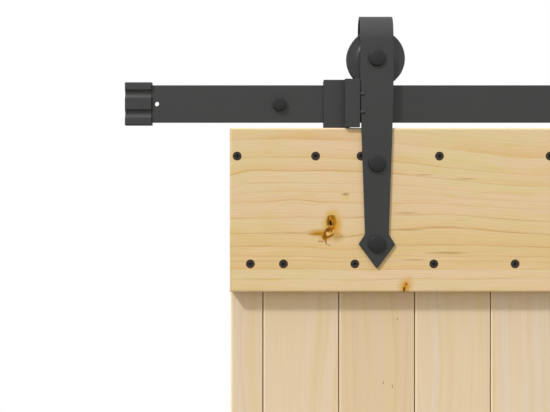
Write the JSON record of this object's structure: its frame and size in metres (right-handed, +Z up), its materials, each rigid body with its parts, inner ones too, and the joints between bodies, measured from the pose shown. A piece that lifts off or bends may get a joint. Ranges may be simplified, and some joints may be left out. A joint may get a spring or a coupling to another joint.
{
  "type": "sliding barn door with rail",
  "caption": "Ledged plank barn door hanging on arrow strap hangers whose grooved rollers run along a flat bar wall rail between end stops.",
  "frame": {"origin": "where the middle lag bolt meets the wall, on the rail's centre line", "axes": "+X along the rail to the right, +Y towards the wall, +Z up"},
  "size_m": [2.005, 0.11, 2.2195],
  "materials": {
    "black_steel": "matt black powder coat with a fine texture",
    "black_rubber": "smooth matt black rubber",
    "roller_nylon": "satin black moulded nylon",
    "bearing_steel": "ground bearing steel",
    "ledger_pine": "planed and clear oiled knotty pine",
    "plank_pine": "planed and clear oiled pine"
  },
  "bodies": {
    "track": {"rail": "black_steel", "end_cap_left": "black_rubber", "end_cap_right": "black_rubber", "lag_bolts": "black_steel", "spacer_1": "black_steel", "spacer_2": "black_steel", "spacer_3": "black_steel", "spacer_4": "black_steel", "spacer_5": "black_steel", "stop_left": "black_steel", "grub_screws_left": "black_steel", "stop_right": "black_steel", "grub_screws_right": "black_steel"},
    "door": {"plank_01": "plank_pine", "plank_02": "plank_pine", "plank_03": "plank_pine", "plank_04": "plank_pine", "plank_05": "plank_pine", "plank_06": "plank_pine", "plank_07": "plank_pine", "plank_08": "plank_pine", "plank_09": "plank_pine", "plank_10": "plank_pine", "plank_11": "plank_pine", "plank_12": "plank_pine", "ledger_top": "ledger_pine", "ledger_middle": "ledger_pine", "ledger_bottom": "ledger_pine", "screws_top": "black_steel", "screws_middle": "black_steel", "screws_bottom": "black_steel", "strap_left": "black_steel", "bumpers_left": "black_rubber", "strap_bolts_left": "black_steel", "sleeve_nuts_left": "black_steel", "axle_bolt_left": "black_steel", "axle_nut_left": "black_steel", "bush_front_left": "bearing_steel", "bush_back_left": "bearing_steel", "bearing_inner_left": "bearing_steel", "strap_right": "black_steel", "bumpers_right": "black_rubber", "strap_bolts_right": "black_steel", "sleeve_nuts_right": "black_steel", "axle_bolt_right": "black_steel", "axle_nut_right": "black_steel", "bush_front_right": "bearing_steel", "bush_back_right": "bearing_steel", "bearing_inner_right": "bearing_steel"},
    "wheel_left": {"wheel_left": "roller_nylon", "bearing_outer_left": "bearing_steel"},
    "balls_left": {"bearing_balls_left": "bearing_steel"},
    "wheel_right": {"wheel_right": "roller_nylon", "bearing_outer_right": "bearing_steel"},
    "balls_right": {"bearing_balls_right": "bearing_steel"}
  },
  "joints": [
    {"name": "door_slide", "type": "slide", "parent": "track", "child": "door", "axis": [1, 0, 0], "range_m": [0, 0.891]},
    {"name": "wheel_left_spin", "type": "hinge", "parent": "door", "child": "wheel_left", "pos_m": [-0.735, -0.035, 0.048], "axis": [0, 1, 0], "continuous": true},
    {"name": "balls_left_spin", "type": "hinge", "parent": "door", "child": "balls_left", "pos_m": [-0.735, -0.035, 0.048], "axis": [0, 1, 0], "continuous": true},
    {"name": "wheel_right_spin", "type": "hinge", "parent": "door", "child": "wheel_right", "pos_m": [-0.156, -0.035, 0.048], "axis": [0, 1, 0], "continuous": true},
    {"name": "balls_right_spin", "type": "hinge", "parent": "door", "child": "balls_right", "pos_m": [-0.156, -0.035, 0.048], "axis": [0, 1, 0], "continuous": true}
  ],
  "couplings": [
    {"joint": "wheel_left_spin", "follows": "door_slide", "rad_per_m": 36.036},
    {"joint": "balls_left_spin", "follows": "door_slide", "rad_per_m": 22.823},
    {"joint": "wheel_right_spin", "follows": "door_slide", "rad_per_m": 36.036},
    {"joint": "balls_right_spin", "follows": "door_slide", "rad_per_m": 22.823}
  ]
}
